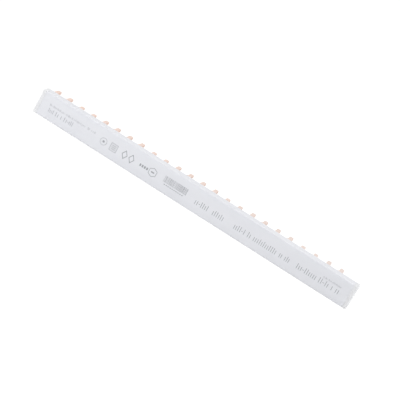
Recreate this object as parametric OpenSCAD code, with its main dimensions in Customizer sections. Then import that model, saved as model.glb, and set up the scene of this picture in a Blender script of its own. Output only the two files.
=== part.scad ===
// Fork-type comb busbar for a row of single-pole modular circuit breakers.
// One stamped and bent copper comb stands in an extruded insulating profile, and a moulded
// cap closes each end. Millimetres. X runs along the row of breakers, +Y points the way the
// forks reach into the terminals, +Z is up. The origin is at the bottom centre of the whole.

/* [Row of breakers] */
// Number of breakers that the busbar feeds, one fork each
module_count = 12; // [2:1:24]
// Distance from one fork to the next, the width of one breaker
pitch = 17.8; // [14:0.1:27]
// How much further the busbar runs past its last breaker at the right-hand end
end_overhang = 9.6; // [6:0.1:20]

/* [Insulating profile] */
// Height of the profile
profile_h = 15.8; // [14.5:0.1:24]
// Depth of the profile, front face to rear face
profile_d = 7.4; // [6.4:0.1:12]
// Thickness of the front, bottom and rear walls
wall = 1.2; // [0.8:0.1:1.6]
// Thickness of the top wall, which ends in a lip over the forks
top_wall = 1.1; // [0.8:0.1:1.6]
// Radius of the two upper long edges
top_edge_r = 0.9; // [0.3:0.1:1.4]
// Radius of the two lower long edges
bottom_edge_r = 0.5; // [0.2:0.1:1.4]
// Thickness of the web that the copper strip stands on
web_t = 1; // [0.8:0.1:1.6]
// Thickness of the rib that holds the copper strip against the front wall
rib_t = 0.8; // [0.6:0.1:1.2]
// Height of that rib above the web
rib_h = 2; // [1:0.1:4]

/* [Copper comb] */
// Thickness of the copper sheet
copper_t = 1.5; // [1:0.1:2]
// Height of the unbroken strip that carries the current
strip_h = 6.7; // [4:0.1:7.5]
// Straight height between the strip and the lowest bend
neck_h = 0.3; // [0.1:0.1:1]
// Inside radius of the bend
bend_r = 0.5; // [0.3:0.1:1]
// How far the fork tips stand out of the profile's rear face
fork_reach = 11.2; // [10:0.1:16]
// Width of the slot between a fork's two prongs
slot_w = 6.3; // [4.5:0.1:7]
// Depth of that slot, from the tips to its round bottom
slot_depth = 8.6; // [7:0.1:10]
// Width of one prong
prong_w = 2.5; // [2:0.1:3.2]
// Radius of the corners of the prong tips
tip_r = 0.9; // [0.2:0.1:1]
// How much lower every third fork lies than its neighbours
low_fork_drop = 0.65; // [0:0.05:1]

/* [End caps] */
// Thickness of the cap's plate
cap_t = 2.6; // [1.8:0.1:3]
// Radius of the cap's outer edges
cap_edge_r = 1.2; // [0.4:0.1:1.4]
// Length of the cap's two plugs
plug_l = 5; // [3:0.1:8]

/* [Fits] */
// Gap between a plug or a fork and the wall beside it
fit_gap = 0.1; // [0.05:0.01:0.3]
// Gap between the copper strip's ends and the caps
strip_end_gap = 0.4; // [0.2:0.1:1]

/* [Hidden] */
$fn = 48;
cut = 1; // how far a cutter runs past the surface that it cuts

total_l = module_count * pitch + end_overhang;
total_d = profile_d + fork_reach;
left_x = -total_l / 2;
front_y = -total_d / 2;
rear_y = front_y + profile_d;
tip_y = front_y + total_d;
profile_l = total_l - 2 * cap_t;

inner_front_y = front_y + wall;
inner_rear_y = rear_y - wall;
roof_z = profile_h - top_wall;

fork_top_z = roof_z - fit_gap;
fork_w = slot_w + 2 * prong_w;
strip_rear_y = inner_front_y + copper_t;
bend_y = strip_rear_y + bend_r;
bend_z = fork_top_z - copper_t - bend_r;
strip_top_z = bend_z - low_fork_drop - neck_h;
web_z = strip_top_z - strip_h;
strip_l = profile_l - 2 * strip_end_gap;

rib_y = strip_rear_y + fit_gap;
rib_rear_y = rib_y + rib_t;
rear_slot_z = fork_top_z - copper_t - low_fork_drop - fit_gap;
chamber_top_z = web_z - web_t;

function fork_x(i) = left_x + (i + 0.5) * pitch;
function fork_drop(i) = i % 3 == 1 ? low_fork_drop : 0;

// A rectangle from [x0, y0] to [x1, y1]
module span(x0, y0, x1, y1) {
    translate([x0, y0]) square([x1 - x0, y1 - y0]);
}

// A rectangle whose two lower and two upper corners have radii of their own
module rounded_span(x0, y0, x1, y1, low_r, high_r) {
    span(x0 + low_r, y0, x1 - low_r, y0 + low_r);
    span(x0, y0 + low_r, x1, y1 - high_r);
    span(x0 + high_r, y1 - high_r, x1 - high_r, y1);
    for (x = [x0 + low_r, x1 - low_r]) translate([x, y0 + low_r]) circle(low_r);
    for (x = [x0 + high_r, x1 - high_r]) translate([x, y1 - high_r]) circle(high_r);
}

// Turns a section drawn as [y, z] into a bar of length l that starts at x
module along_x(x, l) {
    translate([x, 0, 0]) rotate([90, 0, 90]) linear_extrude(l) children();
}

module profile_outline() {
    rounded_span(front_y, 0, rear_y, profile_h, bottom_edge_r, top_edge_r);
}

module profile_section() {
    difference() {
        profile_outline();
        span(inner_front_y, wall, inner_rear_y, chamber_top_z);
        difference() {
            span(inner_front_y, web_z, inner_rear_y, roof_z);
            span(rib_y, web_z - cut, rib_rear_y, web_z + rib_h);
        }
        span(inner_rear_y - cut, rear_slot_z, rear_y + cut, roof_z);
    }
}

module insulating_profile() {
    color([0.87, 0.875, 0.895]) along_x(left_x + cap_t, profile_l) profile_section();
}

// The upright part of the comb as [x, z]: the strip with the necks standing on it
module comb_blank() {
    span(-strip_l / 2, web_z, strip_l / 2, strip_top_z);
    for (i = [0 : module_count - 1])
        span(fork_x(i) - fork_w / 2, web_z, fork_x(i) + fork_w / 2, bend_z - fork_drop(i));
}

// The square bend of a fork as [y, z], round the bend's centre
module bend_section() {
    far = bend_r + copper_t;
    difference() {
        intersection() {
            circle(far);
            span(-far, 0, 0, far);
        }
        circle(bend_r);
    }
}

// A fork's flat plate as [x, y]
module fork_outline() {
    slot_r = slot_w / 2;
    tip_flat = prong_w / 2 - tip_r;
    difference() {
        span(-fork_w / 2, bend_y, fork_w / 2, tip_y - tip_r);
        translate([0, tip_y - slot_depth + slot_r]) circle(slot_r);
        span(-slot_r, tip_y - slot_depth + slot_r, slot_r, tip_y);
    }
    for (side = [-1, 1]) translate([side * (slot_w + prong_w) / 2, tip_y - tip_r]) {
        span(-tip_flat, -tip_r, tip_flat, tip_r);
        for (x = [-tip_flat, tip_flat]) translate([x, 0]) circle(tip_r);
    }
}

module fork() {
    translate([0, bend_y, bend_z]) along_x(-fork_w / 2, fork_w) bend_section();
    translate([0, 0, fork_top_z - copper_t]) linear_extrude(copper_t) fork_outline();
}

module copper_comb() {
    color([0.93, 0.78, 0.71]) {
        translate([0, strip_rear_y, 0]) rotate([90, 0, 0]) linear_extrude(copper_t) comb_blank();
        for (i = [0 : module_count - 1]) translate([fork_x(i), 0, -fork_drop(i)]) fork();
    }
}

// A cap for the left-hand end: its plate, rounded on the outside, and the plugs behind it
module end_cap() {
    intersection() {
        along_x(left_x, cap_t) profile_outline();
        linear_extrude(profile_h) cap_side(front_y, rear_y);
        translate([0, rear_y, 0]) rotate([90, 0, 0]) linear_extrude(profile_d) cap_side(0, profile_h);
    }
    along_x(left_x + cap_t, plug_l) {
        span(inner_front_y + fit_gap, wall + fit_gap, inner_rear_y - fit_gap, chamber_top_z - fit_gap);
        span(rib_rear_y + fit_gap, web_z + fit_gap, inner_rear_y - fit_gap, rear_slot_z - fit_gap);
    }
}

// The cap's plate seen from the side or from above, with its two outer corners rounded
module cap_side(low, high) {
    span(left_x + cap_edge_r, low, left_x + cap_t, high);
    span(left_x, low + cap_edge_r, left_x + cap_t, high - cap_edge_r);
    for (y = [low + cap_edge_r, high - cap_edge_r]) translate([left_x + cap_edge_r, y]) circle(cap_edge_r);
}

module end_cap_left() {
    color([0.93, 0.93, 0.91]) end_cap();
}

module end_cap_right() {
    color([0.93, 0.93, 0.91]) mirror([1, 0, 0]) end_cap();
}

insulating_profile();
copper_comb();
end_cap_left();
end_cap_right();
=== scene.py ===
"""Looks of the comb busbar: finishes, broken edges, print, floor, soft studio light and camera."""

import math
import random

import bmesh
import bpy
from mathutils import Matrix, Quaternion, Vector


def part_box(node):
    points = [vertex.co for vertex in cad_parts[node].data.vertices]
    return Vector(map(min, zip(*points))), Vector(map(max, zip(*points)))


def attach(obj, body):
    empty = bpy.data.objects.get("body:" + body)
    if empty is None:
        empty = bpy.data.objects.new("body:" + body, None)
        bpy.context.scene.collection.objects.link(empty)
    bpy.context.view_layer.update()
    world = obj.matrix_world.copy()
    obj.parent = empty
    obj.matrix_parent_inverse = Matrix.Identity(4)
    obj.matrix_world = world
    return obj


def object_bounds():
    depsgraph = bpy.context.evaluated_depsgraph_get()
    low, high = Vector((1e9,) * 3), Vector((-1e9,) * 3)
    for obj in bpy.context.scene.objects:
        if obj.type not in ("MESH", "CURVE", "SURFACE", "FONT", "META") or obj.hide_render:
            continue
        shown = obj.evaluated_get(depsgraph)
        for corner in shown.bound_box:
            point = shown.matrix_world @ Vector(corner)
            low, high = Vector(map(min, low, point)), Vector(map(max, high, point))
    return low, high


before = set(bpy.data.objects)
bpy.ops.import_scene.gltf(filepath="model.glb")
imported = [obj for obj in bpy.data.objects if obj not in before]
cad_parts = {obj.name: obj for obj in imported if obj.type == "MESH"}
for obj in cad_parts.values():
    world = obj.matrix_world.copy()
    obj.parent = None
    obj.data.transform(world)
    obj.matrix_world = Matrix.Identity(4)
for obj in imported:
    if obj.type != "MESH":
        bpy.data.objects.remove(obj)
cad_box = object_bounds()

MM = 0.001

# The front face of the profile, which carries the print
FRONT_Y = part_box("insulating_profile")[0].y
LEFT_X = cad_box[0][0]
CENTRE = (Vector(cad_box[0]) + Vector(cad_box[1])) / 2


# ---------------------------------------------------------------- node helpers


class Tree:
    """A node tree, with short calls for nodes, links and sums."""

    def __init__(self, tree):
        self.tree = tree

    def add(self, kind, **settings):
        node = self.tree.nodes.new(kind)
        for key, value in settings.items():
            setattr(node, key, value)
        return node

    def link(self, source, target):
        self.tree.links.new(source, target)

    def feed(self, socket, value):
        """Gives a socket a number, or links it to another node's output."""
        if isinstance(value, bpy.types.NodeSocket):
            self.link(value, socket)
        else:
            socket.default_value = value

    def math(self, operation, a, b=0.0):
        node = self.add("ShaderNodeMath", operation=operation)
        self.feed(node.inputs[0], a)
        self.feed(node.inputs[1], b)
        return node.outputs[0]

    def seen_rays(self):
        """1 for the rays of the camera, of reflections and of transmission, and 0 for the rest."""
        path = self.add("ShaderNodeLightPath")
        seen = self.math("MAXIMUM", path.outputs["Is Camera Ray"], path.outputs["Is Glossy Ray"])
        return self.math("MAXIMUM", seen, path.outputs["Is Transmission Ray"])


class Finish(Tree):
    """A material's tree, with the patterns and masks that the finishes share."""

    def __init__(self, name):
        self.material = bpy.data.materials.new(name)
        self.material.use_nodes = True
        super().__init__(self.material.node_tree)
        self.shader = self.tree.nodes["Principled BSDF"]
        self.output = self.tree.nodes["Material Output"]
        coordinates = self.add("ShaderNodeTexCoord")
        scale = self.add("ShaderNodeVectorMath", operation="SCALE")
        scale.inputs["Scale"].default_value = 1 / MM
        self.link(coordinates.outputs["Object"], scale.inputs[0])
        self.place_mm = scale.outputs[0]
        self.normal = coordinates.outputs["Normal"]

    def stretched(self, factors):
        node = self.add("ShaderNodeVectorMath", operation="MULTIPLY")
        self.link(self.place_mm, node.inputs[0])
        node.inputs[1].default_value = factors
        return node.outputs[0]

    def noise(self, per_mm, detail=3.0, roughness=0.55):
        """Noise from 0 to 1 with its own number of features per millimetre along X, Y and Z."""
        node = self.add("ShaderNodeTexNoise")
        self.link(self.stretched(per_mm), node.inputs["Vector"])
        node.inputs["Scale"].default_value = 1.0
        node.inputs["Detail"].default_value = detail
        node.inputs["Roughness"].default_value = roughness
        return node.outputs["Fac"]

    def ranged(self, value, low, high, to_low, to_high):
        """A value that goes from to_low to to_high while the given one goes from low to high."""
        node = self.add("ShaderNodeMapRange", clamp=True)
        self.link(value, node.inputs["Value"])
        node.inputs["From Min"].default_value = low
        node.inputs["From Max"].default_value = high
        node.inputs["To Min"].default_value = to_low
        node.inputs["To Max"].default_value = to_high
        return node.outputs["Result"]

    def share(self, value, low, high, most=1.0):
        """0 up to low, rising to the most at high."""
        return self.ranged(value, low, high, 0.0, most)

    def mixed(self, factor, a, b):
        """A colour between a and b."""
        node = self.add("ShaderNodeMix", data_type="RGBA")
        self.feed(node.inputs["Factor"], factor)
        for socket, value in ((node.inputs["A"], a), (node.inputs["B"], b)):
            self.feed(socket, value if isinstance(value, bpy.types.NodeSocket) else (*value, 1.0))
        return node.outputs["Result"]

    def bumped(self, height, depth_mm, below=None):
        node = self.add("ShaderNodeBump")
        node.inputs["Distance"].default_value = depth_mm * MM
        self.link(height, node.inputs["Height"])
        if below is not None:
            self.link(below, node.inputs["Normal"])
        return node.outputs["Normal"]

    def part(self, vector, axis):
        split = self.add("ShaderNodeSeparateXYZ")
        self.link(vector, split.inputs[0])
        return split.outputs[axis]

    def along(self, axis):
        """The place along an axis, in millimetres."""
        return self.part(self.place_mm, axis)

    def facing(self, axis):
        """How far the surface faces along an axis, either way, from 0 to 1."""
        return self.math("ABSOLUTE", self.part(self.normal, axis))


# ---------------------------------------------------------------- finishes

# Linear colours, which noise mixes within each finish
PVC = (0.782, 0.792, 0.832)
PVC_LIGHT = (0.808, 0.816, 0.852)
PVC_DIE_LINE = (0.75, 0.76, 0.80)
CAP = (0.80, 0.806, 0.822)
CAP_LIGHT = (0.815, 0.821, 0.834)
COPPER_BRIGHT = (0.885, 0.675, 0.59)
COPPER_WARM = (0.85, 0.62, 0.515)
COPPER_PALE_RIGHT = (0.80, 0.70, 0.655)
COPPER_SHEARED = (0.71, 0.52, 0.44)
INK = (0.30, 0.31, 0.33)
INK_PALE = (0.55, 0.56, 0.59)

PLASTIC_IOR = 1.5

# The forks are flat plates from here to their tips, in mm. The mask of the tips rises just before it
PLATE_FROM_Y = FRONT_Y / MM + 3.2
MASK_RISE = 0.1


def profile_plastic():
    """Extruded PVC: satin, slightly cool white, with fine die lines along its length."""
    n = Finish("profile_plastic")
    cloud = n.noise((0.03, 0.12, 0.12), detail=2.0)
    grain = n.noise((2.2, 2.2, 2.2), detail=2.0)
    die_lines = n.noise((0.012, 4.5, 4.5), detail=4.0, roughness=0.7)
    wide_lines = n.noise((0.006, 0.9, 0.9), detail=1.0)
    tone = n.mixed(n.share(cloud, 0.3, 0.7), PVC, PVC_LIGHT)
    tone = n.mixed(n.share(die_lines, 0.55, 0.8, most=0.15), tone, PVC_DIE_LINE)
    n.link(tone, n.shader.inputs["Base Color"])
    sheen_lines = n.ranged(n.math("ADD", die_lines, grain), 0.7, 1.3, 0.36, 0.5)
    n.link(sheen_lines, n.shader.inputs["Roughness"])
    n.shader.inputs["IOR"].default_value = PLASTIC_IOR
    normal = n.bumped(die_lines, depth_mm=0.001)
    normal = n.bumped(wide_lines, depth_mm=0.0015, below=normal)
    normal = n.bumped(grain, depth_mm=0.003, below=normal)
    n.link(normal, n.shader.inputs["Normal"])
    return n.material


def cap_plastic():
    """Moulded caps: a less cool white than the profile, with a fine spark-eroded texture."""
    n = Finish("cap_plastic")
    cloud = n.noise((0.25, 0.25, 0.25), detail=2.0)
    texture = n.noise((6.0, 6.0, 6.0), detail=3.0)
    n.link(n.mixed(n.share(cloud, 0.3, 0.7), CAP, CAP_LIGHT), n.shader.inputs["Base Color"])
    n.link(n.ranged(texture, 0.3, 0.7, 0.46, 0.54), n.shader.inputs["Roughness"])
    n.shader.inputs["IOR"].default_value = PLASTIC_IOR
    normal = n.bumped(texture, depth_mm=0.0008)
    normal = n.bumped(cloud, depth_mm=0.0015, below=normal)
    n.link(normal, n.shader.inputs["Normal"])
    return n.material


def sheared_sides(n):
    """1 on the sides of the comb that the stamping sheared: those that face along X, and the tips."""
    on_plate = n.share(n.along("Y"), PLATE_FROM_Y - MASK_RISE, PLATE_FROM_Y)
    tips = n.math("MULTIPLY", n.share(n.facing("Y"), 0.4, 0.8), on_plate)
    return n.math("MAXIMUM", n.share(n.facing("X"), 0.5, 0.85), tips)


def copper():
    """Rolled copper sheet: rolling lines on its faces, and rougher, darker sheared sides."""
    n = Finish("copper")
    rolling = n.noise((0.05, 5.0, 5.0), detail=4.0, roughness=0.65)
    tarnish = n.noise((0.22, 0.3, 0.3), detail=4.0)
    shear = n.noise((9.0, 9.0, 0.8), detail=3.0)
    sheared = sheared_sides(n)
    face = n.mixed(n.share(tarnish, 0.42, 0.68), COPPER_BRIGHT, COPPER_WARM)
    # The faces turn paler and less red from the left end towards the right end
    face = n.mixed(n.share(n.along("X"), LEFT_X / MM, -LEFT_X / MM, most=0.8), face, COPPER_PALE_RIGHT)
    tone = n.mixed(n.math("MULTIPLY", sheared, 0.7), face, COPPER_SHEARED)
    n.link(tone, n.shader.inputs["Base Color"])
    n.shader.inputs["Metallic"].default_value = 1.0
    smooth = n.ranged(n.math("ADD", rolling, tarnish), 0.7, 1.3, 0.24, 0.38)
    rough = n.math("MAXIMUM", smooth, n.math("MULTIPLY", sheared, 0.46))
    n.link(rough, n.shader.inputs["Roughness"])
    lines = n.mixed(sheared, rolling, shear)
    n.link(n.bumped(lines, depth_mm=0.012), n.shader.inputs["Normal"])
    return n.material


def print_ink():
    """Thin grey marking ink, a little uneven, so that it looks paler in places."""
    n = Finish("print_ink")
    speckle = n.noise((5.0, 5.0, 5.0), detail=3.0)
    cover = n.noise((0.15, 0.6, 0.6), detail=2.0)
    thin_spots = n.share(speckle, 0.45, 0.75, most=0.35)
    thin_areas = n.share(cover, 0.4, 0.7, most=0.25)
    tone = n.mixed(n.math("ADD", thin_spots, thin_areas), INK, INK_PALE)
    n.link(tone, n.shader.inputs["Base Color"])
    n.link(n.ranged(speckle, 0.3, 0.7, 0.45, 0.6), n.shader.inputs["Roughness"])
    n.link(n.bumped(speckle, depth_mm=0.004), n.shader.inputs["Normal"])
    return n.material


# ---------------------------------------------------------------- the CAD parts

WELD_MM = 0.001
FLAT_WITHIN = math.radians(0.5)
SHARP_FROM = math.radians(40)
BEVEL_SEGMENTS = 2


def break_edges(part, width_mm):
    """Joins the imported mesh's split vertices and rounds its sharp edges, as modifiers."""
    weld = part.modifiers.new("weld", "WELD")
    weld.merge_threshold = WELD_MM * MM
    flat = part.modifiers.new("flat_faces", "DECIMATE")
    flat.decimate_type = "DISSOLVE"
    flat.angle_limit = FLAT_WITHIN
    bevel = part.modifiers.new("broken_edges", "BEVEL")
    bevel.width = width_mm * MM
    bevel.segments = BEVEL_SEGMENTS
    bevel.limit_method = "ANGLE"
    bevel.angle_limit = SHARP_FROM
    bevel.harden_normals = True


def dress(name, material, edge_mm):
    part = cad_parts[name]
    part.data.materials.clear()
    part.data.materials.append(material)
    break_edges(part, edge_mm)


def dress_parts():
    dress("insulating_profile", profile_plastic(), edge_mm=0.1)
    dress("copper_comb", copper(), edge_mm=0.14)
    caps = cap_plastic()
    for name in ("end_cap_left", "end_cap_right"):
        dress(name, caps, edge_mm=0.12)


# ---------------------------------------------------------------- print on the front face

# The marks stand this far out of the face, and reach this far into it, in mm
INK_OUT = 0.02
INK_IN = 0.01


class Marks:
    """Flat ink marks on the front face. Places are in mm from the left end and above the base."""

    def __init__(self, name):
        self.name = name
        self.mesh = bmesh.new()

    def loop(self, outline, depth_mm):
        y = FRONT_Y - depth_mm * MM
        return [self.mesh.verts.new((LEFT_X + x * MM, y, z * MM)) for x, z in outline]

    def wall(self, a, b):
        for i in range(len(a)):
            j = (i + 1) % len(a)
            self.mesh.faces.new((a[i], a[j], b[j], b[i]))

    def solid(self, outline):
        front, back = self.loop(outline, INK_OUT), self.loop(outline, -INK_IN)
        self.mesh.faces.new(front)
        self.mesh.faces.new(back)
        self.wall(front, back)

    def hollow(self, outer, inner):
        corners = ((outer, INK_OUT), (inner, INK_OUT), (inner, -INK_IN), (outer, -INK_IN))
        loops = [self.loop(outline, depth_mm) for outline, depth_mm in corners]
        for a, b in zip(loops, loops[1:] + loops[:1]):
            self.wall(a, b)

    def bar(self, x, z, width, height):
        self.solid(rectangle(x, z, width, height))

    def box(self, x, z, width, height, stroke):
        inner = rectangle(x + stroke, z + stroke, width - 2 * stroke, height - 2 * stroke)
        self.hollow(rectangle(x, z, width, height), inner)

    def finish(self, material):
        bmesh.ops.recalc_face_normals(self.mesh, faces=self.mesh.faces)
        data = bpy.data.meshes.new(self.name)
        self.mesh.to_mesh(data)
        self.mesh.free()
        data.materials.append(material)
        piece = bpy.data.objects.new(self.name, data)
        bpy.context.collection.objects.link(piece)
        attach(piece, "root")


def rectangle(x, z, width, height):
    return [(x, z), (x + width, z), (x + width, z + height), (x, z + height)]


# A hexagon's shoulders stand this far from its middle, as a share of its half height
SHOULDER_SHARE = 0.55


def hexagon(x, z, half_width, half_height):
    shoulder = half_height * SHOULDER_SHARE
    right = [(x + half_width, z - shoulder), (x + half_width, z + shoulder)]
    left = [(x - half_width, z + shoulder), (x - half_width, z - shoulder)]
    return [(x, z - half_height), *right, (x, z + half_height), *left]


def oval(x, z, half_width, half_height, sides=48):
    turns = [2 * math.pi * i / sides for i in range(sides)]
    return [(x + half_width * math.cos(a), z + half_height * math.sin(a)) for a in turns]


def lozenge(x, z, half_width, half_height):
    return oval(x, z, half_width, half_height, sides=4)


# Each line of print is a row of words, from one place to another in mm from the left end
SMALL_LINE = ((8.3, 14.6), (15.4, 26.2), (27.0, 33.0), (33.8, 41.6))
CODE = ((8.9, 14.4), (15.6, 20.6), (21.8, 26.4))
RATING = ((115.0, 134.6), (142.5, 171.4), (174.0, 180.6), (186.1, 199.0), (201.3, 214.5))
SMALL_MARK = ((202.6, 208.0), (208.8, 214.6))

# From one mark to the next, as a share of the line's height
MARK_STEP = 0.39
MARK_KINDS = ("upright",) * 7 + ("dash", "none", "none")
UPRIGHT_HEIGHTS = (1.0, 0.75)
# A dash starts this far before its place and is this long, as shares of the step
DASH_BACK, DASH_LENGTH = 0.25, 0.7
# A dash stands this far above the line's foot, as a share of the line's height
DASH_RISE = 0.35


def print_word(marks, start, end, foot, height, stroke, draw):
    """A run of plain uprights and short dashes between two places, with the rhythm of print."""
    count = max(2, round((end - start - stroke) / (height * MARK_STEP)))
    step = (end - start - stroke) / count
    for i in range(count + 1):
        x = start + i * step
        kind = draw.choice(MARK_KINDS)
        if kind == "dash" and 0 < i < count:
            marks.bar(x - step * DASH_BACK, foot + height * DASH_RISE, step * DASH_LENGTH, stroke)
        elif kind != "none" or i in (0, count):
            marks.bar(x, foot, stroke, height * draw.choice(UPRIGHT_HEIGHTS))


def print_words(name, words, material, foot, height, stroke, seed):
    marks = Marks(name)
    draw = random.Random(seed)
    for start, end in words:
        print_word(marks, start, end, foot, height, stroke, draw)
    marks.finish(material)


# The height of the symbols' middle above the base
SYMBOL_Z = 7.8


def add_ring(marks, x, radius, stroke, dot_radius):
    inner = radius - stroke
    marks.hollow(oval(x, SYMBOL_Z, radius, radius), oval(x, SYMBOL_Z, inner, inner))
    marks.solid(oval(x, SYMBOL_Z, dot_radius, dot_radius))


def add_square(marks, x, width, height, stroke, inset, bar_height, bar_rises):
    """A square with bars in it, each at its own rise from the symbols' middle."""
    marks.box(x, SYMBOL_Z - height / 2, width, height, stroke)
    for rise in bar_rises:
        marks.bar(x + inset, SYMBOL_Z + rise, width - 2 * inset, bar_height)


def add_lozenge(marks, x, half_width, half_height, inner_share):
    inner = lozenge(x, SYMBOL_Z, half_width * inner_share, half_height * inner_share)
    marks.hollow(lozenge(x, SYMBOL_Z, half_width, half_height), inner)


def add_blocks(marks, x, count, step, width, height):
    for i in range(count):
        marks.bar(x + i * step, SYMBOL_Z - height / 2, width, height)


def add_hexagon(marks, x, outer, inner, bar_width, bar_height):
    """A hexagon with a bar in its middle. Outer and inner are its half width and half height."""
    marks.bar(x - bar_width / 2, SYMBOL_Z - bar_height / 2, bar_width, bar_height)
    marks.hollow(hexagon(x, SYMBOL_Z, *outer), hexagon(x, SYMBOL_Z, *inner))


def print_symbols(material):
    """Plain shapes in a row: a ring, a square, two lozenges, and four blocks beside a hexagon."""
    marks = Marks("print_symbols")
    add_ring(marks, 48.4, radius=2.3, stroke=0.2, dot_radius=0.7)
    bar_rises = (-1.3, -0.2, 0.9)
    add_square(marks, 53.3, 4.8, 4.9, stroke=0.28, inset=1.0, bar_height=0.4, bar_rises=bar_rises)
    for x in (63.7, 68.6):
        add_lozenge(marks, x, half_width=2.0, half_height=3.0, inner_share=0.76)
    add_blocks(marks, 74.6, count=4, step=1.6, width=1.0, height=1.6)
    add_hexagon(marks, 83.9, outer=(2.6, 2.9), inner=(2.32, 2.58), bar_width=2.2, bar_height=0.8)
    marks.finish(material)


# The block of stripes and the row of dots under it, in mm
STRIPES_SEED = 3
STRIPES_START, STRIPES_END = 92.0, 107.8
STRIPES_FOOT, STRIPES_HEIGHT = 6.6, 4.2
STRIPE_WIDTHS = (0.16, 0.16, 0.24, 0.32)
STRIPE_GAPS = (0.28, 0.34, 0.44)
DOTS_START, DOTS_FOOT = 93.2, 5.2
DOT_COUNT, DOT_STEP = 10, 1.4
DOT_WIDTH, DOT_HEIGHT = 0.8, 0.5


def print_stripes(material):
    """A block of upright stripes of three widths, over a row of oblong dots."""
    marks = Marks("print_stripes")
    draw = random.Random(STRIPES_SEED)
    x = STRIPES_START
    while x < STRIPES_END:
        width = draw.choice(STRIPE_WIDTHS)
        marks.bar(x, STRIPES_FOOT, width, STRIPES_HEIGHT)
        x += width + draw.choice(STRIPE_GAPS)
    for i in range(DOT_COUNT):
        marks.bar(DOTS_START + i * DOT_STEP, DOTS_FOOT, DOT_WIDTH, DOT_HEIGHT)
    marks.finish(material)


def add_print():
    ink = print_ink()
    print_words("print_small_line", SMALL_LINE, ink, foot=8.8, height=1.4, stroke=0.15, seed=1)
    print_words("print_code", CODE, ink, foot=4.8, height=2.8, stroke=0.27, seed=2)
    print_symbols(ink)
    print_stripes(ink)
    print_words("print_rating", RATING, ink, foot=5.2, height=3.5, stroke=0.33, seed=4)
    print_words("print_small_mark", SMALL_MARK, ink, foot=9.4, height=1.1, stroke=0.12, seed=5)


# ---------------------------------------------------------------- floor, light and camera

FLOOR_SIZE = 12.0
FLOOR_TONE = (0.8, 0.8, 0.8, 1.0)
FLOOR_ROUGHNESS = 0.9
FLOOR_GLOW = 1.12
# How much of what the camera sees of the floor is glow. The rest takes the object's shadow
FLOOR_GLOW_SHARE = 0.9


def add_floor():
    """A pale floor that reads as white to the camera and in reflections, and keeps a soft shadow."""
    bpy.ops.mesh.primitive_plane_add(size=FLOOR_SIZE)
    floor = bpy.context.object
    floor.name = "floor"
    n = Finish("floor")
    n.shader.inputs["Base Color"].default_value = FLOOR_TONE
    n.shader.inputs["Roughness"].default_value = FLOOR_ROUGHNESS
    n.shader.inputs["Specular IOR Level"].default_value = 0.0
    glow = n.add("ShaderNodeEmission")
    glow.inputs["Strength"].default_value = FLOOR_GLOW
    mix = n.add("ShaderNodeMixShader")
    n.link(n.math("MULTIPLY", n.seen_rays(), FLOOR_GLOW_SHARE), mix.inputs["Fac"])
    n.link(n.shader.outputs[0], mix.inputs[1])
    n.link(glow.outputs[0], mix.inputs[2])
    n.link(mix.outputs[0], n.output.inputs["Surface"])
    floor.data.materials.append(n.material)


# The world's strength as a light. To the camera and in reflections it is 1
WORLD_LIGHT = 0.465


def add_world():
    world = bpy.data.worlds.new("studio")
    bpy.context.scene.world = world
    world.use_nodes = True
    n = Tree(world.node_tree)
    background = n.tree.nodes["Background"]
    background.inputs["Color"].default_value = (1.0, 1.0, 1.0, 1.0)
    strength = n.math("MAXIMUM", n.seen_rays(), WORLD_LIGHT)
    n.link(strength, background.inputs["Strength"])


# Each lamp's name, its place from the object's centre and its size, in m, and its power in W
LAMPS = (
    ("key", (-0.3, -0.6, 0.16), (0.5, 0.3), 1.78),
    ("top", (0.2, 0.2, 0.9), (1.2, 0.8), 2.85),
    ("right", (0.8, 0.0, 0.25), (0.4, 0.4), 2.35),
    ("left", (-0.7, 0.1, 0.6), (0.4, 0.4), 1.6),
)


def add_lamp(name, place, size, watts):
    """A lamp that faces the object. It shows in no reflection, because the white world does."""
    data = bpy.data.lights.new(name, "AREA")
    data.shape = "RECTANGLE"
    data.size, data.size_y = size
    data.energy = watts
    lamp = bpy.data.objects.new(name, data)
    lamp.location = CENTRE + Vector(place)
    lamp.rotation_mode = "QUATERNION"
    lamp.rotation_quaternion = (-Vector(place)).to_track_quat("-Z", "Y")
    lamp.visible_glossy = False
    bpy.context.collection.objects.link(lamp)


# The camera looks at this point of the front face, from a little to the right and above, turned on
# its own axis so that the busbar runs down to the right
AIM = Vector((CENTRE.x + 5.42 * MM, FRONT_Y, 9.11 * MM))
DISTANCE = 0.775
AZIMUTH = math.radians(9.65)
ELEVATION = math.radians(16.44)
ROLL = math.radians(29.58)
FIELD_OF_VIEW = math.radians(17.35)
CLIP_START = 0.05


def add_camera():
    data = bpy.data.cameras.new("camera")
    data.lens_unit = "FOV"
    data.angle = FIELD_OF_VIEW
    data.clip_start = CLIP_START
    camera = bpy.data.objects.new("camera", data)
    bpy.context.collection.objects.link(camera)
    level = math.cos(ELEVATION)
    outward = Vector((math.sin(AZIMUTH) * level, -math.cos(AZIMUTH) * level, math.sin(ELEVATION)))
    camera.location = AIM + DISTANCE * outward
    camera.rotation_mode = "QUATERNION"
    camera.rotation_quaternion = (-outward).to_track_quat("-Z", "Y") @ Quaternion((0, 0, 1), ROLL)
    bpy.context.scene.camera = camera


# ---------------------------------------------------------------- the scene

dress_parts()
add_print()
add_floor()
add_world()
for lamp in LAMPS:
    add_lamp(*lamp)
add_camera()
bpy.context.scene.view_settings.view_transform = "Standard"
